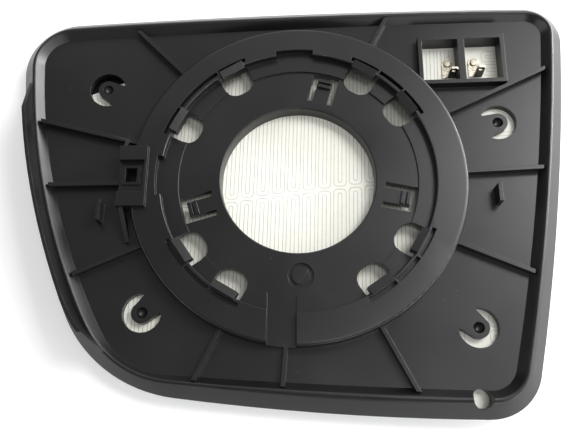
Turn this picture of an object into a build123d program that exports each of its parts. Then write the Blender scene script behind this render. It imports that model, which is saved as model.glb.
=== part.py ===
from build123d import *
import os
from math import atan2, cos, degrees, radians, sin, sqrt

# Heated car door mirror glass, lying on its face with the back of the plate up.
# The origin is in the mouth of the hub bore, on its axis and level with the deck.
# Heights are counted from the lowest point of the convex glass, straight below the origin.
# Heights named "rise" follow the curve of the glass; heights of the hub are level.

# Glass and heater film
mirror_radius = 1400.0          # convex front, centre of the sphere above the part
glass_thickness = 2.0
glass_edge_break = 0.4
film_thickness = 0.3
bond_line = 0.1                 # adhesive between glass, film and plate
film_margin = 1.6               # film stops this far inside the edge of the glass
film_cut_point = (-68.6, 35.4)  # straight cut across the upper left corner of the film
film_cut_angle = 24.0

# Outer outline of the plate: upper left corner, then lower left, lower right and upper right
plate_corners = [(-97.5, 59.2), (-62.1, -66.6), (69.4, -76.4), (93.8, 64.5)]
plate_bows = [8.5, 2.6, 3.7, 4.1]
plate_radii = [19.0, 46.0, 16.6, 13.3]

# Flat of the panel inside the rim, set in from the outer corners
panel_insets = [(9.6, -8.5), (8.9, 5.2), (-7.1, 9.4), (-9.9, -7.7)]
panel_bows = [8.6, 1.6, 3.9, 4.6]
panel_radii = [8.4, 25.4, 7.1, 4.2]
panel_thickness = 2.4

# Rim bead and the lip round the glass
rim_rise = 3.4                  # crest above the panel
flank_run = 4.8                 # outer flank leans in by this much below the crest
flank_drop = 5.6                # over this height
crest_round = 2.6               # outer edge of the crest
crest_inner_round = 0.8
rim_slope = 35.0                # inner slope, from upright
slope_start = 6.1               # height where the inner slope leaves the panel, lowest at the top side
slope_height = 10.0             # runs out above the crest
lip_wall = 1.4
lip_reveal = 0.5                # glass stands this proud of the lip
glass_clearance = 0.2

# Fin on the crest along the left side
fin_wall = 1.1
fin_rise = 7.0
fin_setback = 3.3               # from the outer outline
fin_upper_end = 35.0            # along Y
fin_lower_end = -56.7
fin_upper_run_out = 13.0        # length over which each end slopes down
fin_lower_run_out = 5.0

# Round hub, level heights
bore_radius = 25.6
collar_wall = 1.8
deck_height = 7.9
deck_thickness = 1.8
step_radius = 39.6
step_rise = 0.6
recess_radius = 45.1
riser_wall = 3.6
flange_height = 10.9
flange_thickness = 1.9
flange_round = 0.4              # inner edge
drum_radius = 55.5
drum_wall = 1.9
drum_round = 1.3
bore_round = 0.5

# Notches in the flange wall: angle and angular width
flange_notches = [(91.5, 16.0), (179.5, 17.0)]
notch_depth = 1.8

# Radial channel through the flange at the bottom
channel_width = 9.2
channel_offset = -5.1
channel_wall = 1.5
channel_start = 37.5            # distance of its inner end from the axis

# Snap arms: angle of each group and of its two hooks either side
snap_groups = [(47.0, 12.2), (137.0, 16.7), (227.0, 12.2), (317.0, 12.2)]
snap_window_width = 10.6
snap_window_inner = 36.8
snap_window_round = 4.4
snap_arm_wall = 1.1
snap_slot_width = 1.4
snap_slot_depth = 2.2           # below the flange
snap_slot_overrun = 7.4         # degrees past the middle of each hook
snap_rib_span = 1.4             # degrees, web across the slot at each hook
snap_hook_width = 8.6
snap_hook_reach = 2.0           # nose inside the recess wall
snap_hook_rise = 2.0            # top above the flange
snap_hook_fall = 0.7            # of the top towards the nose
snap_hook_gap = 0.7             # nose above the deck step

# Spring tongues cut in the deck
tongue_angles = [75.0, -12.0, 197.0]
tongue_width = 5.0
tongue_slot = 1.9
tongue_root = 28.6
tongue_tip = 37.4
tongue_ridge = (1.1, 4.4, 0.9)
tongue_ridge_setbacks = [0.2, 2.1]  # from the tip

# Moulding insert below the bore
dial_centre = (0.8, -33.0)
dial_radius = 2.8
dial_groove = 1.3
dial_depth = 0.9
dial_cut_depth = 0.6            # flat cut on one side of the disc
dial_cut_offset = 0.9
dial_cut_angle = -41.0

# Stiffening ribs from the hub to the rim
rib_angles = [135.2, 166.5, 181.6, 204.5, 244.2, 266.0, 297.3, 336.0, 1.7, 24.6, 62.6]
rib_wall = 1.3
rib_rise = 2.8

# Curved windows with a bored spring tongue
window_centres = [(-66.4, 34.2), (67.7, 20.1), (-49.0, -44.3), (55.2, -49.4)]
window_radius = 6.2
window_tip_round = 0.5
window_tongue_radius = 3.35
window_tongue_root = 8.4        # width of the tongue where it joins the panel
window_pit_radius = 1.75

# Short upright tabs on the panel: place of the middle and length
tabs = [(-64.6, -11.6, 7.0), (65.0, -6.6, 6.2)]
tab_wall = 1.3
tab_rise = 4.8

# Drain hole through the rim
drain_centre = (53.8, -70.6)
drain_radius = 2.95

# Terminal box: two pockets side by side
box_left = 42.0
box_bottom = 33.8
pocket_width = 12.2
pocket_length = 15.6
box_wall = 1.4
box_middle_wall = 2.3
box_rise = 3.3

# Latch tower on the left of the hub
latch_left = -58.6
latch_right = -49.3
latch_bottom = -10.9
latch_top = 10.1
latch_height = 12.7
latch_recess_bottom = -6.0
latch_recess_top = 5.1
latch_recess_depth = 2.2
latch_side_wall = 0.8
latch_frame_centre = (-54.6, 0.3)
latch_frame = (5.9, 6.8)
latch_frame_rise = 0.5
latch_hole = (3.7, 4.9)
latch_hole_depth = 7.4
gusset_wall = 1.3
gusset_lower_length = 11.0
gusset_lower_angle = -79.0
gusset_upper_length = 6.5
gusset_upper_angle = 90.0
gusset_toe = 1.2                # height left at the far end, above the panel

# Blade terminals riveted to the film
terminal_seats = [(52.8, 44.2), (62.0, 44.4)]
lug_thickness = 0.4
lug_radius = 1.9
lug_length = 5.4
lug_dimple = (-0.3, -3.5)       # from the rivet
lug_dimple_radius = 0.7
lug_dimple_depth = 0.15
blade_width = 2.8
blade_thickness = 0.8
blade_shift = 1.2               # blade stands to the right of the rivet
blade_height = 6.8
blade_tip_taper = 0.6
blade_hole_radius = 0.6
blade_hole_drop = 1.7
seat_clearance = 0.02
rivet_radius = 0.75
rivet_clearance = 0.05
rivet_head_radius = 1.3
rivet_head_height = 0.5
rivet_head_round = 0.4

film_base = glass_thickness + bond_line
film_top = film_base + film_thickness
plate_base = film_top + bond_line
panel_top = plate_base + panel_thickness
crest_top = panel_top + rim_rise
glass_setback = lip_wall + glass_clearance
panel_corners = [(x + dx, y + dy) for (x, y), (dx, dy) in zip(plate_corners, panel_insets)]
tall = 40.0                     # upright blanks that the curves then trim
wide = 400.0                    # level blanks that the outlines then trim
base = Plane.XY.offset(-deck_height)  # touches the lowest point of the glass
bowl = Pos(0, 0, mirror_radius - deck_height) * Rot(90, 0, 0)  # poles of the spheres lie off the part


def crossing(first, second, corner):
    """Point where two arcs, each a centre and a radius, cross near a corner."""
    (start, start_radius), (end, end_radius) = first, second
    span = end - start
    along = (start_radius**2 - end_radius**2 + span.length**2) / (2 * span.length)
    across = sqrt(start_radius**2 - along**2)
    foot = start + span.normalized() * along
    side = Vector(-span.Y, span.X).normalized() * across
    return min(foot + side, foot - side, key=lambda point: (point - Vector(corner)).length)


def bowed_outline(corners, bows, radii, amount=0.0):
    """Face with four sides bowed outwards and rounded corners, its edge moved in by an amount."""
    arcs = []
    for start, end, bow in zip(corners, corners[1:] + corners[:1], bows):
        chord = Vector(end) - Vector(start)
        outward = Vector(chord.Y, -chord.X).normalized()
        radius = (chord.length**2 / 4 + bow**2) / (2 * bow)
        arcs.append(((Vector(start) + Vector(end)) / 2 + outward * (bow - radius), radius - amount))
    moved = [crossing(arcs[i - 1], arcs[i], corner) for i, corner in enumerate(corners)]
    with BuildSketch() as outline:
        with BuildLine():
            for start, end, (centre, radius) in zip(moved, moved[1:] + moved[:1], arcs):
                ThreePointArc(start, centre + ((start + end) / 2 - centre).normalized() * radius, end)
        make_face()
        for corner, radius in zip(moved, radii):
            fillet(outline.vertices().sort_by_distance(corner)[0], radius - amount)
    return outline.sketch


def plate_face(amount=0.0):
    """Outline of the plate, its edge moved in by an amount."""
    return bowed_outline(plate_corners, plate_bows, plate_radii, amount)


def panel_face(amount=0.0):
    """Outline of the panel inside the rim, its edge moved in by an amount."""
    return bowed_outline(panel_corners, panel_bows, panel_radii, amount)


def ring_sector(inner, outer, angle, span, height):
    """Level face between two radii about the hub axis, centred on an angle."""
    with BuildSketch(base.offset(height)) as sector:
        with BuildLine():
            outer_arc = CenterArc((0, 0), outer, angle - span / 2, span)
            inner_arc = CenterArc((0, 0), inner, angle - span / 2, span)
            Line(outer_arc @ 0, inner_arc @ 0)
            Line(outer_arc @ 1, inner_arc @ 1)
        make_face()
    return sector.sketch


def layer(face, low, high):
    """Upright body over a face, kept between two heights above the front of the glass."""
    blank = extrude(base * face, amount=tall, mode=Mode.PRIVATE)
    floor = bowl * Sphere(mirror_radius - low, mode=Mode.PRIVATE)
    roof = bowl * Sphere(mirror_radius - high, mode=Mode.PRIVATE)
    return (blank & floor) - roof


def height_at(x, y, rise):
    """Height of a point that lies a given rise above the front of the glass."""
    return mirror_radius - sqrt((mirror_radius - rise) ** 2 - x**2 - y**2)


def polar(radius, angle):
    """Point at a radius and an angle about the hub axis."""
    return (radius * cos(radians(angle)), radius * sin(radians(angle)))


def level_plane(angle, x=0, y=0, height=0):
    """Level plane at a point, its X direction turned to an angle."""
    return Plane(origin=(x, y, height - deck_height), x_dir=(*polar(1, angle), 0), z_dir=(0, 0, 1))


def upright_plane(angle, x=0, y=0):
    """Upright plane at a point: its X runs level at an angle, its Y is the height."""
    return Plane(
        origin=(x, y, -deck_height), x_dir=(*polar(1, angle), 0), z_dir=(*polar(1, angle - 90), 0)
    )


def film_plane(x, y):
    """Plane lying on the back of the film at a point."""
    height = height_at(x, y, film_top)
    depth = mirror_radius - height
    return Plane(origin=(x, y, height - deck_height), x_dir=(depth, 0, x), z_dir=(-x, -y, depth))


# Mirror glass
glass_body = layer(plate_face(glass_setback), 0, glass_thickness)
with BuildPart() as mirror_glass:
    add(glass_body)
    chamfer(mirror_glass.faces().filter_by(GeomType.SPHERE).edges(), glass_edge_break)
mirror_glass.part.label = "mirror_glass"

# Heater film: one corner cut off straight, two rivet holes
with BuildSketch() as film_face:
    add(plate_face(glass_setback + film_margin))
    with Locations(Location((*film_cut_point, 0), film_cut_angle)):
        Rectangle(wide, wide, align=(Align.CENTER, Align.MIN), mode=Mode.SUBTRACT)
film_body = layer(film_face.sketch, film_base, film_top)
with BuildPart() as heater_film:
    add(film_body)
    for x, y in terminal_seats:
        with BuildSketch(film_plane(x, y)):
            Circle(rivet_radius + rivet_clearance)
        extrude(amount=2 * film_thickness, both=True, mode=Mode.SUBTRACT)
heater_film.part.label = "heater_film"

# Layers of the backing plate that follow the curve of the glass
with BuildSketch() as rib_faces:
    for angle in rib_angles:
        with Locations(Location((*polar(drum_radius - drum_wall, angle), 0), angle)):
            Rectangle(2 * drum_radius, rib_wall, align=(Align.MIN, Align.CENTER))
    add(panel_face(-rim_rise / 2), mode=Mode.INTERSECT)

box_width = 2 * box_wall + 2 * pocket_width + box_middle_wall
box_length = 2 * box_wall + pocket_length
with BuildSketch() as box_face:
    with Locations((box_left, box_bottom)):
        Rectangle(box_width, box_length, align=Align.MIN)
with BuildSketch(base) as pocket_faces:
    for shift in (0, pocket_width + box_middle_wall):
        with Locations((box_left + box_wall + shift, box_bottom + box_wall)):
            Rectangle(pocket_width, pocket_length, align=Align.MIN)

with BuildSketch() as tab_faces:
    for x, y, length in tabs:
        with Locations((x, y)):
            Rectangle(tab_wall, length)

with BuildSketch() as fin_face:
    add(plate_face(fin_setback))
    add(plate_face(fin_setback + fin_wall), mode=Mode.SUBTRACT)
    with Locations((0, fin_lower_end)):
        Rectangle(wide, fin_upper_end - fin_lower_end, align=(Align.MAX, Align.MIN), mode=Mode.INTERSECT)
with BuildSketch(upright_plane(90)) as fin_side:
    fin_foot = height_at(panel_corners[0][0], 0, crest_top)
    with BuildLine():
        Polyline(
            (fin_lower_end, 0),
            (fin_upper_end, 0),
            (fin_upper_end, fin_foot),
            (fin_upper_end - fin_upper_run_out, fin_foot + fin_rise),
            (fin_lower_end + fin_lower_run_out, fin_foot + fin_rise),
            (fin_lower_end, fin_foot - rim_rise / 2),
            close=True,
        )
    make_face()

disc_body = layer(plate_face(), lip_reveal, crest_top)
panel_body = layer(panel_face(-rim_rise), lip_reveal, panel_top)
rib_body = layer(rib_faces.sketch, film_top, panel_top + rib_rise)
box_body = layer(box_face.sketch, film_top, panel_top + box_rise)
tab_body = layer(tab_faces.sketch, film_top, panel_top + tab_rise)
fin_body = layer(fin_face.sketch, panel_top, crest_top + fin_rise) & extrude(
    fin_side.sketch, amount=-wide, mode=Mode.PRIVATE
)
recess_body = layer(plate_face(lip_wall), 0, plate_base)

# Level faces of the hub
step_height = deck_height + step_rise
arm_radius = recess_radius + snap_arm_wall
hook_root = recess_radius + snap_arm_wall / 2
hook_base = step_height + snap_hook_gap
hook_top = flange_height + snap_hook_rise
hook_angles = [angle + side * spread for angle, spread in snap_groups for side in (-1, 1)]
notch_faces = [
    ring_sector(recess_radius - notch_depth, recess_radius + notch_depth, angle, span, step_height)
    for angle, span in flange_notches
]
slot_floor = flange_height - snap_slot_depth
slot_faces = []
for angle, spread in snap_groups:
    web_angle = spread - degrees(snap_hook_width / 2 / arm_radius)
    side_span = spread + snap_slot_overrun - web_angle
    slots = [(angle, 2 * web_angle - snap_rib_span)]
    slots += [(angle + side * (web_angle + side_span / 2), side_span) for side in (-1, 1)]
    for middle, span in slots:
        slot_faces.append(ring_sector(arm_radius, arm_radius + snap_slot_width, middle, span, slot_floor))

with BuildPart() as backing_plate:
    # Rim: a disc with a leaning flank and a round crest, opened by a pocket with sloping sides
    add(disc_body)
    crest = backing_plate.faces().filter_by(GeomType.SPHERE).sort_by(Axis.Z)[-1]
    chamfer(crest.edges(), length=flank_run, length2=flank_drop, reference=crest)
    crest = backing_plate.faces().filter_by(GeomType.SPHERE).sort_by(Axis.Z)[-1]
    fillet(crest.edges(), crest_round)
    extrude(base * panel_face(), amount=slope_start, mode=Mode.SUBTRACT)
    with BuildSketch(base.offset(slope_start)):
        add(panel_face())
    extrude(amount=slope_height, taper=-rim_slope, mode=Mode.SUBTRACT)
    slopes = backing_plate.faces(Select.LAST).filter_by(GeomType.CONE)
    fillet([slope.edges().sort_by(Axis.Z)[-1] for slope in slopes], crest_inner_round)
    add(fin_body)

    # Panel with its ribs, terminal box and tabs
    add(panel_body)
    add(rib_body)
    add(box_body)
    add(tab_body)

    # Panel opened under the hub
    with BuildSketch(base):
        Circle(drum_radius - drum_wall / 2)
    extrude(amount=flange_height, both=True, mode=Mode.SUBTRACT)

    # Latch tower with a gusset at each end
    with BuildSketch(base.offset(film_top)):
        with Locations((latch_left, latch_bottom)):
            Rectangle(latch_right - latch_left, latch_top - latch_bottom, align=Align.MIN)
    extrude(amount=latch_height - film_top)
    gusset_x = latch_left + gusset_wall
    gussets = (
        (gusset_x, latch_bottom, gusset_lower_angle, gusset_lower_length),
        (gusset_x, latch_top, gusset_upper_angle, gusset_upper_length),
    )
    for x, y, angle, length in gussets:
        with BuildSketch(upright_plane(angle, x, y)):
            with BuildLine():
                Polyline(
                    (-gusset_wall, 0),
                    (length, 0),
                    (length, height_at(x, y, panel_top) + gusset_toe),
                    (0, latch_height - gusset_toe),
                    (-gusset_wall, latch_height - gusset_toe),
                    close=True,
                )
            make_face()
        extrude(amount=gusset_wall / 2, both=True)

    # Hub: collar, deck, step, riser, flange and drum, turned about the axis
    with BuildSketch(upright_plane(0)) as hub_section:
        with BuildLine():
            Polyline(
                (bore_radius, 0),
                (bore_radius + collar_wall, 0),
                (bore_radius + collar_wall, deck_height - deck_thickness),
                (recess_radius + riser_wall, deck_height - deck_thickness),
                (recess_radius + riser_wall, flange_height - flange_thickness),
                (drum_radius - drum_wall, flange_height - flange_thickness),
                (drum_radius - drum_wall, 0),
                (drum_radius, 0),
                (drum_radius, flange_height),
                (recess_radius, flange_height),
                (recess_radius, step_height),
                (step_radius, step_height),
                (step_radius, deck_height),
                (bore_radius, deck_height),
                close=True,
            )
        make_face()
        fillet(hub_section.vertices().sort_by_distance((drum_radius, flange_height))[0], drum_round)
        fillet(hub_section.vertices().sort_by_distance((recess_radius, flange_height))[0], flange_round)
        fillet(hub_section.vertices().sort_by_distance((bore_radius, deck_height))[0], bore_round)
    revolve(axis=Axis.Z)

    # Notches in the riser
    for face in notch_faces:
        extrude(face, amount=tall, mode=Mode.SUBTRACT)

    # Channel through the flange and the step, with its floor level with the deck
    with BuildSketch(base.offset(deck_height - deck_thickness)):
        with Locations((channel_offset, -recess_radius)):
            Rectangle(
                channel_width + 2 * channel_wall,
                drum_radius - recess_radius,
                align=(Align.CENTER, Align.MAX),
            )
        Circle(drum_radius - drum_wall / 2, mode=Mode.INTERSECT)
    extrude(amount=flange_height - drum_round - deck_height + deck_thickness)
    with BuildSketch(base.offset(deck_height)):
        with Locations((channel_offset, -channel_start)):
            Rectangle(channel_width, drum_radius, align=(Align.CENTER, Align.MAX))
        Circle(drum_radius + drum_wall, mode=Mode.INTERSECT)
    extrude(amount=tall, mode=Mode.SUBTRACT)

    # Snap arms: webbed slots behind each arm, a window under each hook, then the hooks
    for face in slot_faces:
        extrude(face, amount=tall, mode=Mode.SUBTRACT)
    for angle in hook_angles:
        with BuildSketch(level_plane(angle)) as snap_window:
            with Locations((snap_window_inner, 0)):
                Rectangle(recess_radius, snap_window_width, align=(Align.MIN, Align.CENTER))
            fillet(snap_window.vertices().group_by(Axis.X)[0], snap_window_round)
            Circle(hook_root, mode=Mode.INTERSECT)
        extrude(amount=hook_base, mode=Mode.SUBTRACT)
        with BuildSketch(upright_plane(angle)):
            with BuildLine():
                Polyline(
                    (recess_radius - snap_hook_reach, hook_base),
                    (hook_root, hook_base),
                    (hook_root, hook_top),
                    (recess_radius - snap_hook_reach, hook_top - snap_hook_fall),
                    close=True,
                )
            make_face()
        extrude(amount=snap_hook_width / 2, both=True)

    # Spring tongues in the deck, each with two ridges across its free end
    ridge_width, ridge_length, ridge_rise = tongue_ridge
    for angle in tongue_angles:
        with BuildSketch(level_plane(angle)):
            with Locations((tongue_root, 0)):
                Rectangle(
                    tongue_tip + tongue_slot - tongue_root,
                    tongue_width + 2 * tongue_slot,
                    align=(Align.MIN, Align.CENTER),
                )
                Rectangle(
                    tongue_tip - tongue_root,
                    tongue_width,
                    align=(Align.MIN, Align.CENTER),
                    mode=Mode.SUBTRACT,
                )
        extrude(amount=step_height, mode=Mode.SUBTRACT)
        with BuildSketch(level_plane(angle, height=deck_height - deck_thickness)):
            with Locations([(tongue_tip - setback, 0) for setback in tongue_ridge_setbacks]):
                Rectangle(ridge_width, ridge_length, align=(Align.MAX, Align.CENTER))
        extrude(amount=deck_thickness + ridge_rise)

    # Moulding insert: a disc in a round groove, with a flat cut on one side
    with BuildSketch(base.offset(deck_height - dial_depth)):
        with Locations(dial_centre):
            Circle(dial_radius + dial_groove)
            Circle(dial_radius, mode=Mode.SUBTRACT)
    extrude(amount=dial_depth, mode=Mode.SUBTRACT)
    with BuildSketch(level_plane(dial_cut_angle, *dial_centre, deck_height - dial_cut_depth)):
        Circle(dial_radius + dial_groove / 2)
        with Locations((dial_cut_offset, 0)):
            Rectangle(
                2 * dial_radius, 3 * dial_radius, align=(Align.MIN, Align.CENTER), mode=Mode.INTERSECT
            )
    extrude(amount=dial_cut_depth, mode=Mode.SUBTRACT)

    # Recess, frame and hole in the top of the latch tower
    latch_floor = latch_height - latch_recess_depth
    with BuildSketch(base.offset(latch_floor)):
        with Locations((latch_right - latch_side_wall, latch_recess_bottom)):
            Rectangle(
                latch_right - latch_left,
                latch_recess_top - latch_recess_bottom,
                align=(Align.MAX, Align.MIN),
            )
    extrude(amount=latch_recess_depth, mode=Mode.SUBTRACT)
    with BuildSketch(base.offset(latch_floor)):
        with Locations(latch_frame_centre):
            Rectangle(*latch_frame)
    extrude(amount=latch_frame_rise)
    with BuildSketch(base.offset(latch_height - latch_hole_depth)):
        with Locations(latch_frame_centre):
            Rectangle(*latch_hole)
    extrude(amount=latch_height, mode=Mode.SUBTRACT)

    # Curved windows, each leaving a tongue that points away from the hub and has a round pit
    for x, y in window_centres:
        with BuildSketch(level_plane(degrees(atan2(-y, -x)), x, y)) as curved_window:
            Circle(window_radius)
            Circle(window_tongue_radius, mode=Mode.SUBTRACT)
            Polygon(
                (0, window_tongue_radius),
                (0, -window_tongue_radius),
                (window_radius, -window_tongue_root / 2),
                (window_radius, window_tongue_root / 2),
                align=None,
                mode=Mode.SUBTRACT,
            )
            fillet(curved_window.vertices().sort_by(Axis.X)[-2:], window_tip_round)
        extrude(amount=tall, mode=Mode.SUBTRACT)
        with Locations((x, y, height_at(x, y, panel_top) - deck_height)):
            Sphere(window_pit_radius, mode=Mode.SUBTRACT)

    # Terminal pockets and drain hole
    extrude(pocket_faces.sketch, amount=tall, mode=Mode.SUBTRACT)
    with BuildSketch(base):
        with Locations(drain_centre):
            Circle(drain_radius)
    extrude(amount=tall, mode=Mode.SUBTRACT)

    # Underside: seat of the glass and film, edge of the lip
    add(recess_body, mode=Mode.SUBTRACT)
    with Locations(bowl):
        Sphere(mirror_radius - lip_reveal, mode=Mode.INTERSECT)
backing_plate.part.label = "backing_plate"

pieces = [mirror_glass, heater_film, backing_plate]

# Blade terminals: a lug on the film bent up into a blade, and the rivet that holds it
for side, (x, y) in zip(("left", "right"), terminal_seats):
    seat = film_plane(x, y).offset(seat_clearance)
    blade_right = blade_shift + blade_width / 2
    with BuildPart() as terminal:
        with BuildSketch(seat):
            Circle(lug_radius)
            Rectangle(2 * lug_radius, lug_length, align=(Align.CENTER, Align.MAX))
            with Locations((-lug_radius, -lug_length)):
                Rectangle(lug_radius + blade_right, lug_radius, align=Align.MIN)
            Circle(rivet_radius + rivet_clearance, mode=Mode.SUBTRACT)
        extrude(amount=lug_thickness)
        with BuildSketch(seat.offset(lug_thickness)):
            with Locations(lug_dimple):
                Circle(lug_dimple_radius)
        extrude(amount=-lug_dimple_depth, mode=Mode.SUBTRACT)
        with BuildSketch(seat):
            with Locations((blade_shift, -lug_length)):
                Rectangle(blade_width, blade_thickness, align=(Align.CENTER, Align.MIN))
        extrude(amount=blade_height)
        blade_tip = terminal.faces().sort_by(Axis.Z)[-1]
        chamfer(blade_tip.edges().sort_by(SortBy.LENGTH)[:2], blade_tip_taper)
        hole_centre = seat.from_local_coords((blade_shift, -lug_length, blade_height - blade_hole_drop))
        with BuildSketch(Plane(hole_centre, x_dir=seat.x_dir, z_dir=-seat.y_dir)):
            Circle(blade_hole_radius)
        extrude(amount=-blade_thickness, mode=Mode.SUBTRACT)
    terminal.part.label = f"terminal_{side}"

    with BuildPart() as rivet:
        head_height = lug_thickness + seat_clearance
        with BuildSketch(seat.offset(head_height)):
            Circle(rivet_radius)
        extrude(amount=-(head_height + seat_clearance + film_thickness))
        with BuildSketch(seat.offset(head_height)):
            Circle(rivet_head_radius)
        extrude(amount=rivet_head_height)
        fillet(rivet.edges().filter_by(GeomType.CIRCLE).sort_by(Axis.Z)[-1], rivet_head_round)
    rivet.part.label = f"rivet_{side}"
    pieces += [terminal, rivet]

os.makedirs("parts", exist_ok=True)
for piece in pieces:
    export_step(piece.part, f"parts/{piece.part.label}.step")
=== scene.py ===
import math

import bmesh
import bpy
from mathutils import Matrix, Vector


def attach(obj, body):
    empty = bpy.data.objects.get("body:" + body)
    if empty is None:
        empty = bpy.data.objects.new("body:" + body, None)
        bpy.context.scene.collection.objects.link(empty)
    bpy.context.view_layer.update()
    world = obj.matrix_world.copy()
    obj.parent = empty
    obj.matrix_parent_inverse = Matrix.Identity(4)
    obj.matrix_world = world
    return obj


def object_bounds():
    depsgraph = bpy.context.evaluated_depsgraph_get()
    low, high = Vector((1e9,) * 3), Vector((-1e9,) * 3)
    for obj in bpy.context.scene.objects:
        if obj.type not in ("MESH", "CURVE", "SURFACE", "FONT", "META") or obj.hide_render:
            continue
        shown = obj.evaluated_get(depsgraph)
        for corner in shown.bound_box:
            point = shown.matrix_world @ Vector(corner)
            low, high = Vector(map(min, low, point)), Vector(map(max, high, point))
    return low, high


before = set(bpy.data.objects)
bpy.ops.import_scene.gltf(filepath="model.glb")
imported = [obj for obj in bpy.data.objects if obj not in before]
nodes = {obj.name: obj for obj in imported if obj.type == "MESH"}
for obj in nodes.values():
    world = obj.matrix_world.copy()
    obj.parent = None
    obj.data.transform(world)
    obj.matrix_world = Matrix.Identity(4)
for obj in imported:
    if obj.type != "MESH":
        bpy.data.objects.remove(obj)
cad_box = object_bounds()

MM = 0.001


# Mirror glass: convex float glass, cut to the outline and ground round its edge.
# The front shows the silver behind the glass, the back is sealed with dark grey paint.
# It lies in the lip of the backing plate and carries everything else.
weld_reach = 0.002 * MM  # joins the doubled points along the seams of the CAD mesh


def material(name):
    """New node material: the material, its node tree and its Principled shader."""
    made = bpy.data.materials.new(name)
    made.use_nodes = True
    return made, made.node_tree, made.node_tree.nodes["Principled BSDF"]


def mottle_group():
    """Node group for soft patches between a dark and a light tone."""
    takes = (("Vector", "Vector"), ("Scale", "Float"), ("Dark", "Color"), ("Light", "Color"))
    gives = (("Colour", "Color"), ("Amount", "Float"))
    group = bpy.data.node_groups.new("mottle", "ShaderNodeTree")
    for way, sockets in (("INPUT", takes), ("OUTPUT", gives)):
        for label, kind in sockets:
            group.interface.new_socket(label, in_out=way, socket_type="NodeSocket" + kind)
    entry = group.nodes.new("NodeGroupInput")
    noise = group.nodes.new("ShaderNodeTexNoise")
    noise.inputs["Detail"].default_value = 4.0
    spread = group.nodes.new("ShaderNodeMapRange")
    spread.inputs["From Min"].default_value = 0.3
    spread.inputs["From Max"].default_value = 0.7
    tone = group.nodes.new("ShaderNodeMix")
    tone.data_type = "RGBA"
    leave = group.nodes.new("NodeGroupOutput")
    group.links.new(entry.outputs["Vector"], noise.inputs["Vector"])
    group.links.new(entry.outputs["Scale"], noise.inputs["Scale"])
    group.links.new(noise.outputs["Fac"], spread.inputs["Value"])
    group.links.new(spread.outputs["Result"], tone.inputs["Factor"])
    group.links.new(entry.outputs["Dark"], tone.inputs["A"])
    group.links.new(entry.outputs["Light"], tone.inputs["B"])
    group.links.new(tone.outputs["Result"], leave.inputs["Colour"])
    group.links.new(spread.outputs["Result"], leave.inputs["Amount"])
    return group


mottle = mottle_group()


def mottled(tree, scale, dark=(0, 0, 0), light=(1, 1, 1)):
    """Sets the mottle group in a material, with its own scale and tones."""
    place = tree.nodes.new("ShaderNodeTexCoord")
    patches = tree.nodes.new("ShaderNodeGroup")
    patches.node_tree = mottle
    patches.inputs["Scale"].default_value = scale
    patches.inputs["Dark"].default_value = (*dark, 1)
    patches.inputs["Light"].default_value = (*light, 1)
    tree.links.new(place.outputs["Object"], patches.inputs["Vector"])
    return patches


def facing(tree, axis):
    """How far a face looks along an axis of its object, from -1 to 1."""
    place = tree.nodes.new("ShaderNodeTexCoord")
    split = tree.nodes.new("ShaderNodeSeparateXYZ")
    tree.links.new(place.outputs["Normal"], split.inputs["Vector"])
    return split.outputs[axis]


def ranged(tree, source, low, high, start=0.0, end=1.0):
    """Takes a value from one range to another and stops it at the ends."""
    scale = tree.nodes.new("ShaderNodeMapRange")
    scale.inputs["From Min"].default_value = start
    scale.inputs["From Max"].default_value = end
    scale.inputs["To Min"].default_value = low
    scale.inputs["To Max"].default_value = high
    tree.links.new(source, scale.inputs["Value"])
    return scale.outputs["Result"]


def blended(tree, factor, first, second):
    """Mixes two colours, each a tone or the output of a node, by a factor."""
    mix = tree.nodes.new("ShaderNodeMix")
    mix.data_type = "RGBA"
    tree.links.new(factor, mix.inputs["Factor"])
    for label, colour in (("A", first), ("B", second)):
        if isinstance(colour, tuple):
            mix.inputs[label].default_value = (*colour, 1)
        else:
            tree.links.new(colour, mix.inputs[label])
    return mix.outputs["Result"]


def dress(node, finish, sharp_angle):
    """Gives a node its finish and lets its curved faces shade smoothly up to a sharp edge."""
    piece = nodes[node]
    piece.data.materials.clear()
    piece.data.materials.append(finish)
    for face in piece.data.polygons:
        face.use_smooth = True
    weld = piece.modifiers.new("weld", "WELD")
    weld.merge_threshold = weld_reach
    split = piece.modifiers.new("split", "EDGE_SPLIT")
    split.split_angle = math.radians(sharp_angle)
    even = piece.modifiers.new("even", "WEIGHTED_NORMAL")
    even.keep_sharp = True


silvered_glass, tree, shader = material("silvered_glass")
upward = facing(tree, "Z")
silver_side = ranged(tree, upward, low=0, high=1, start=-0.6, end=-0.9)
paint_side = ranged(tree, upward, low=0, high=1, start=0.6, end=0.9)
back_paint = mottled(tree, scale=900, dark=(0.012, 0.013, 0.014), light=(0.028, 0.029, 0.031))
silver = mottled(tree, scale=25, dark=(0.83, 0.86, 0.87), light=(0.85, 0.88, 0.89))
ground_edge = mottled(tree, scale=1500, dark=(0.13, 0.25, 0.22), light=(0.2, 0.34, 0.3))
unpainted = blended(tree, silver_side, ground_edge.outputs["Colour"], silver.outputs["Colour"])
glass_colour = blended(tree, paint_side, unpainted, back_paint.outputs["Colour"])
tree.links.new(glass_colour, shader.inputs["Base Color"])
tree.links.new(ranged(tree, silver_side, low=0.3, high=0.02), shader.inputs["Roughness"])
shader.inputs["Metallic"].default_value = 1.0
dress("mirror_glass", silvered_glass, sharp_angle=30)


# Heater film: thin ivory polyester sheet bonded to the back of the glass.
# Its corner is cut off straight, and two rivet holes take the terminals.
def bumped(tree, height, strength, distance):
    """Bump node that raises a surface by the height a node gives."""
    bump = tree.nodes.new("ShaderNodeBump")
    bump.inputs["Strength"].default_value = strength
    bump.inputs["Distance"].default_value = distance
    tree.links.new(height, bump.inputs["Height"])
    return bump


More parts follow.
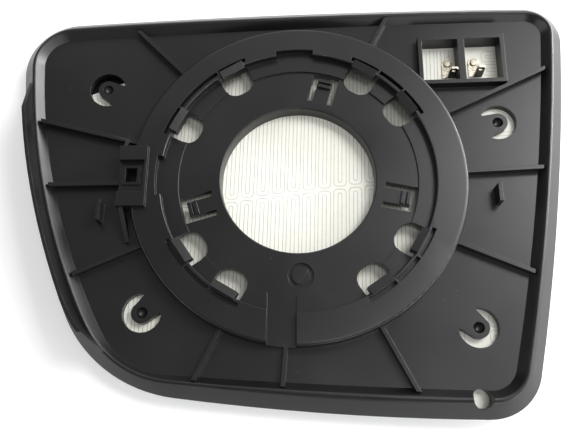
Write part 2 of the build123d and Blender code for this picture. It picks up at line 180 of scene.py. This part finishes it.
ivory_film, tree, shader = material("ivory_film")
clouds = mottled(tree, scale=45, dark=(0.825, 0.819, 0.73), light=(0.87, 0.864, 0.79))
film_roughness = ranged(tree, clouds.outputs["Amount"], low=0.38, high=0.46)
ripple = mottled(tree, scale=260)
ripple_bump = bumped(tree, ripple.outputs["Amount"], strength=0.15, distance=0.2 * MM)
tree.links.new(clouds.outputs["Colour"], shader.inputs["Base Color"])
tree.links.new(film_roughness, shader.inputs["Roughness"])
tree.links.new(ripple_bump.outputs["Normal"], shader.inputs["Normal"])
dress("heater_film", ivory_film, sharp_angle=30)

# Heater tracks: thin grey lines printed on the film in two rows of nested hairpins.
# The rows meet along a slanting gap, and blocks of level lines fill the right side.
film_ball = 1397.54 * MM        # radius of the printed face of the film
film_ball_height = 1392.1 * MM  # centre of that ball above the origin
finger_pitch = 5.2 * MM
nested = (  # half width, corner and set back of the outer and the inner hairpin of a finger
    (2.06 * MM, 1.25 * MM, 0),
    (0.65 * MM, 0.64 * MM, 1.35 * MM),
)
run_steps = 8   # lengths in each straight run, so that it follows the curve of the film
bar_steps = 2
bend_steps = 4

track_width = 0.23 * MM
fingers = range(-14, 11)
finger_shift = -1.55 * MM       # middle of finger 0
finger_lean = 0.0245            # shift to the right for each unit up
gap_slant = 0.1215              # rise of the gap between the rows
upper_apex = -2.65 * MM
lower_apex = -3.75 * MM
upper_reach = 50 * MM
upper_cut = (-68 * MM, 31 * MM, 0.445)   # the film's cut corner: a point on the line, and its rise
lower_reach = -62 * MM
lower_cut = (-45 * MM, -62 * MM, 1.25)   # the same at the lower left

level_width = 0.17 * MM
level_fingers = range(-10, 4)
level_apex = -59 * MM           # drawn upright below the middle, then turned to the right side
corner_fingers = range(7, 10)   # beside the terminals
corner_apex = -65 * MM
level_reach = -76 * MM
level_reach_slant = 0.17


def straight(bm, edge, shift, steps):
    """Carries the end of a track along a straight run."""
    for _ in range(steps):
        grown = bmesh.ops.extrude_edge_only(bm, edges=[edge])["geom"]
        ends = [part for part in grown if isinstance(part, bmesh.types.BMVert)]
        bmesh.ops.translate(bm, verts=ends, vec=Vector(shift) / steps)
        grown_edges = [part for part in grown if isinstance(part, bmesh.types.BMEdge)]
        edge = next(part for part in grown_edges if set(part.verts) == set(ends))
    return edge


def turn(bm, edge, centre, angle):
    """Carries the end of a track round a bend."""
    bent = bmesh.ops.spin(
        bm, geom=[edge, *edge.verts], cent=centre, axis=(0, 0, 1), angle=angle, steps=bend_steps
    )
    return next(part for part in bent["geom_last"] if isinstance(part, bmesh.types.BMEdge))


def hairpin(bm, width, middle, half, corner, apex, reach):
    """One track that runs along Y from reach to apex, across, and back, about a middle line."""
    way = 1 if apex > reach else -1
    run = apex - reach - way * corner
    bar = Vector((2 * (half - corner), 0, 0))
    left = bm.verts.new((middle - half - width / 2, reach, 0))
    right = bm.verts.new((middle - half + width / 2, reach, 0))
    end = bm.edges.new((left, right))
    end = straight(bm, end, (0, run, 0), run_steps)
    bend = Vector((middle - half + corner, apex - way * corner, 0))
    end = turn(bm, end, bend, -way * math.pi / 2)
    end = straight(bm, end, bar, bar_steps)
    end = turn(bm, end, bend + bar, -way * math.pi / 2)
    straight(bm, end, (0, -run, 0), run_steps)


def object_from(bm, name):
    """Turns a finished bmesh into an object of the scene."""
    mesh = bpy.data.meshes.new(name)
    bm.to_mesh(mesh)
    bm.free()
    made = bpy.data.objects.new(name, mesh)
    bpy.context.scene.collection.objects.link(made)
    return made


tracks = bmesh.new()
for finger in fingers:
    middle = finger_shift + finger * finger_pitch
    slant = gap_slant * middle
    top = min(upper_reach, upper_cut[1] + upper_cut[2] * (middle - upper_cut[0]))
    bottom = max(lower_reach, lower_cut[1] + lower_cut[2] * (lower_cut[0] - middle))
    for half, corner, set_back in nested:
        upper = upper_apex + slant + set_back
        lower = lower_apex + slant - set_back
        hairpin(tracks, track_width, middle, half, corner, upper, top)
        hairpin(tracks, track_width, middle, half, corner, lower, bottom)
for point in tracks.verts:
    point.co.x += finger_lean * point.co.y

level_tracks = bmesh.new()
for block, apex in ((level_fingers, level_apex), (corner_fingers, corner_apex)):
    for finger in block:
        middle = finger * finger_pitch
        reach = level_reach - level_reach_slant * middle
        for half, corner, set_back in nested:
            hairpin(level_tracks, level_width, middle, half, corner, apex - set_back, reach)
quarter_turn = Matrix.Rotation(math.pi / 2, 3, "Z")
bmesh.ops.rotate(level_tracks, verts=level_tracks.verts, cent=(0, 0, 0), matrix=quarter_turn)
level_mesh = bpy.data.meshes.new("level_tracks")
level_tracks.to_mesh(level_mesh)
level_tracks.free()
tracks.from_mesh(level_mesh)
bpy.data.meshes.remove(level_mesh)

for point in tracks.verts:
    point.co.z = film_ball_height - math.sqrt(film_ball**2 - point.co.x**2 - point.co.y**2)
bmesh.ops.recalc_face_normals(tracks, faces=tracks.faces)
for face in tracks.faces:
    if face.normal.z < 0:
        face.normal_flip()
heater_tracks = object_from(tracks, "heater_tracks")

track_ink, tree, shader = material("track_ink")
ink_fade = mottled(tree, scale=400, dark=(0.4, 0.39, 0.35), light=(0.6, 0.585, 0.52))
ink_roughness = ranged(tree, ink_fade.outputs["Amount"], low=0.42, high=0.58)
tree.links.new(ink_fade.outputs["Colour"], shader.inputs["Base Color"])
tree.links.new(ink_roughness, shader.inputs["Roughness"])
heater_tracks.data.materials.append(track_ink)
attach(heater_tracks, "root")


# Backing plate: one injection moulding in black satin plastic with a fine eroded grain.
# Rim, panel, ribs, hub, snap hooks, latch tower and terminal box all belong to it.
# A little pale dust lies on it.
def worked_out(tree, operation, first, second):
    """Adds or multiplies two values, each a number or the output of a node."""
    math_node = tree.nodes.new("ShaderNodeMath")
    math_node.operation = operation
    for socket, value in zip(math_node.inputs, (first, second)):
        if isinstance(value, float):
            socket.default_value = value
        else:
            tree.links.new(value, socket)
    return math_node.outputs["Value"]


black_plastic, tree, shader = material("black_plastic")
flow = mottled(tree, scale=30, dark=(0.0042, 0.0043, 0.0045), light=(0.0068, 0.0069, 0.007))
plastic_roughness = ranged(tree, flow.outputs["Amount"], low=0.3, high=0.37)

place = tree.nodes.new("ShaderNodeTexCoord")
specks = tree.nodes.new("ShaderNodeTexVoronoi")
specks.inputs["Scale"].default_value = 240.0
tree.links.new(place.outputs["Object"], specks.inputs["Vector"])
near_speck = ranged(tree, specks.outputs["Distance"], low=1, high=0, start=0.02, end=0.045)
speck_kind = tree.nodes.new("ShaderNodeSeparateColor")
tree.links.new(specks.outputs["Color"], speck_kind.inputs["Color"])
speck_share = ranged(tree, speck_kind.outputs["Red"], low=0, high=1, start=0.6, end=0.9)
dust = worked_out(tree, "MULTIPLY", near_speck, speck_share)
dusty = blended(tree, dust, flow.outputs["Colour"], (0.14, 0.135, 0.12))

soft_edges = tree.nodes.new("ShaderNodeBevel")
soft_edges.samples = 6
soft_edges.inputs["Radius"].default_value = 0.18 * MM
grain = mottled(tree, scale=2600)
grain_bump = bumped(tree, grain.outputs["Amount"], strength=0.12, distance=0.03 * MM)
tree.links.new(soft_edges.outputs["Normal"], grain_bump.inputs["Normal"])

tree.links.new(dusty, shader.inputs["Base Color"])
tree.links.new(plastic_roughness, shader.inputs["Roughness"])
tree.links.new(grain_bump.outputs["Normal"], shader.inputs["Normal"])
dress("backing_plate", black_plastic, sharp_angle=35)

# Terminals: brass strip, stamped, bent up into a blade and tin plated.
# Each lies on the film in its pocket, where a small rivet through the film holds it.
# The plating has gone a little dull and yellow, and the front of the blades is darkened with
# painted shade.
tinned_strip, tree, shader = material("tinned_strip")
tarnish = mottled(tree, scale=700, dark=(0.56, 0.52, 0.42), light=(0.7, 0.66, 0.55))
# Painted shade: a near black tone laid on the faces that look along -Y, the front of the blades.
front_shade_paint = mottled(tree, scale=500, dark=(0.018, 0.018, 0.017), light=(0.04, 0.039, 0.036))
painted_shade_mask = ranged(tree, facing(tree, "Y"), low=0, high=1, start=-0.7, end=-0.95)
tarnish_with_painted_shade = blended(tree, painted_shade_mask, tarnish.outputs["Colour"], front_shade_paint.outputs["Colour"])
strip_roughness = ranged(tree, tarnish.outputs["Amount"], low=0.2, high=0.32)
tree.links.new(tarnish_with_painted_shade, shader.inputs["Base Color"])
tree.links.new(strip_roughness, shader.inputs["Roughness"])
shader.inputs["Metallic"].default_value = 1.0

tinned_rivet, tree, shader = material("tinned_rivet")
tarnish = mottled(tree, scale=1100, dark=(0.46, 0.43, 0.33), light=(0.64, 0.6, 0.48))
rivet_roughness = ranged(tree, tarnish.outputs["Amount"], low=0.26, high=0.4)
tree.links.new(tarnish.outputs["Colour"], shader.inputs["Base Color"])
tree.links.new(rivet_roughness, shader.inputs["Roughness"])
shader.inputs["Metallic"].default_value = 1.0

for side in ("left", "right"):
    dress(f"terminal_{side}", tinned_strip, sharp_angle=30)
    dress(f"rivet_{side}", tinned_rivet, sharp_angle=30)

# Setting: white floor under the convex glass, a compact lamp above on the right,
# low ones along the right, weak ones on the other sides and overhead, and the photograph's camera.
floor_half_width = 3.0
floor_gap = 0.05 * MM           # between the floor and the lowest point of the glass
floor_glow = 0.2                # brings the floor to white for the eye without lighting the part
world_strength = 0.3

floor_paint, tree, shader = material("floor_paint")
shader.inputs["Base Color"].default_value = (0.9, 0.9, 0.9, 1)
shader.inputs["Roughness"].default_value = 0.9
shader.inputs["Specular IOR Level"].default_value = 0.0
shader.inputs["Emission Color"].default_value = (1, 1, 1, 1)
ray = tree.nodes.new("ShaderNodeLightPath").outputs
seen = worked_out(tree, "ADD", ray["Is Camera Ray"], ray["Is Glossy Ray"])
seen = worked_out(tree, "ADD", seen, ray["Is Transmission Ray"])
glow = worked_out(tree, "MULTIPLY", seen, floor_glow)
tree.links.new(glow, shader.inputs["Emission Strength"])
ground = bmesh.new()
bmesh.ops.create_grid(ground, x_segments=1, y_segments=1, size=floor_half_width)
bmesh.ops.translate(ground, verts=ground.verts, vec=(0, 0, cad_box[0][2] - floor_gap))
floor = object_from(ground, "floor")
floor.data.materials.append(floor_paint)

world = bpy.data.worlds.new("studio")
world.use_nodes = True
background = world.node_tree.nodes["Background"]
background.inputs["Color"].default_value = (1, 1, 1, 1)
background.inputs["Strength"].default_value = world_strength
bpy.context.scene.world = world


def lamp(name, spot, width, height, power):
    """Soft lamp at a spot, turned to the middle of the object."""
    light = bpy.data.lights.new(name, "AREA")
    light.shape = "RECTANGLE"
    light.size = width
    light.size_y = height
    light.energy = power
    stand = bpy.data.objects.new(name, light)
    aim = (-Vector(spot)).to_track_quat("-Z", "Y").to_matrix().to_4x4()
    stand.matrix_world = Matrix.Translation(spot) @ aim
    bpy.context.scene.collection.objects.link(stand)


lamp("key_lamp", spot=(0.35, 0.2, 0.47), width=0.29, height=0.28, power=2.75)
lamp("window_lamp", spot=(0.72, -0.08, 0.24), width=1.5, height=0.4, power=6.5)
lamp("low_lamp", spot=(0.6, 0.52, 0.13), width=0.5, height=0.2, power=2.8)
lamp("flank_lamp", spot=(0.66, 0.3, 0.115), width=0.45, height=0.19, power=3.6)
lamp("left_lamp", spot=(-0.75, -0.1, 0.24), width=1.0, height=0.26, power=1.6)
lamp("front_lamp", spot=(0.3, -0.82, 0.24), width=0.35, height=0.3, power=1.1)
lamp("ceiling_lamp", spot=(0.22, -0.2, 1.1), width=0.35, height=0.35, power=2.1)
lamp("back_lamp", spot=(0.0, 0.9, 0.55), width=0.9, height=0.9, power=2.3)

camera_spot = (0.0034, -0.0808, 0.1992)
camera_right = Vector((0.99970, 0.0, -0.0247))
camera_forward = Vector((-0.02345, 0.3144, -0.9490))
camera_up = camera_right.cross(camera_forward)
focal_pixels = 650.0
frame_pixels = 587.0            # width of the photograph
shot = bpy.data.cameras.new("camera")
shot.sensor_width = 36.0
shot.lens = shot.sensor_width * focal_pixels / frame_pixels
shot.clip_start = 0.01
camera = bpy.data.objects.new("camera", shot)
aim = Matrix((camera_right, camera_up, -camera_forward)).transposed().to_4x4()
camera.matrix_world = Matrix.Translation(camera_spot) @ aim
bpy.context.scene.collection.objects.link(camera)
bpy.context.scene.camera = camera
bpy.context.scene.view_settings.view_transform = "Standard"
